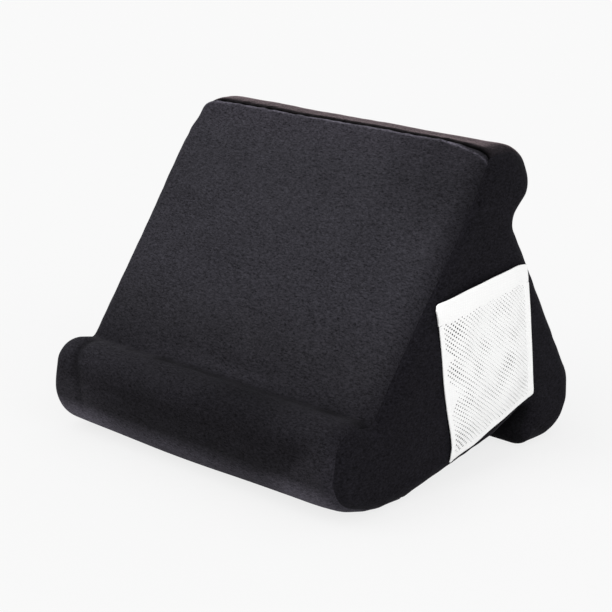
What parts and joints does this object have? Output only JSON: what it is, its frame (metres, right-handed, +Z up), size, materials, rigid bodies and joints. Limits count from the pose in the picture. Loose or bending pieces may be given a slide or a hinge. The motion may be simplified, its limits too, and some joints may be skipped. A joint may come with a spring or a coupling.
{
  "type": "tablet cushion stand",
  "caption": "Foam wedge cushion in a plush cover that props a tablet on a ledge below its sloping face, with a rear foot, a top lobe and a net pocket on one end.",
  "frame": {"origin": "on the floor below the middle of the whole stand's box, with the stand as it rests", "axes": "+Z up; -Y the way the reading face looks, towards the reader; +X towards the end with the net pocket"},
  "size_m": [0.2976, 0.266, 0.2297],
  "materials": {
    "plush": "black short-pile plush, matt with a soft sheen at grazing angles",
    "foam": "off-white open-cell foam",
    "net": "white knitted net",
    "tape": "white woven tape",
    "elastic": "white flat elastic"
  },
  "bodies": {
    "root": {"foam_core": "foam", "front_wrap_panel": "plush", "base_wrap_panel": "plush", "rear_wrap_panel": "plush", "left_end_panel": "plush", "right_end_panel": "plush", "pocket_net": "net", "pocket_top_tape": "tape", "pocket_front_tape": "tape", "pocket_rear_tape": "tape", "pocket_elastic": "elastic"}
  },
  "joints": []
}
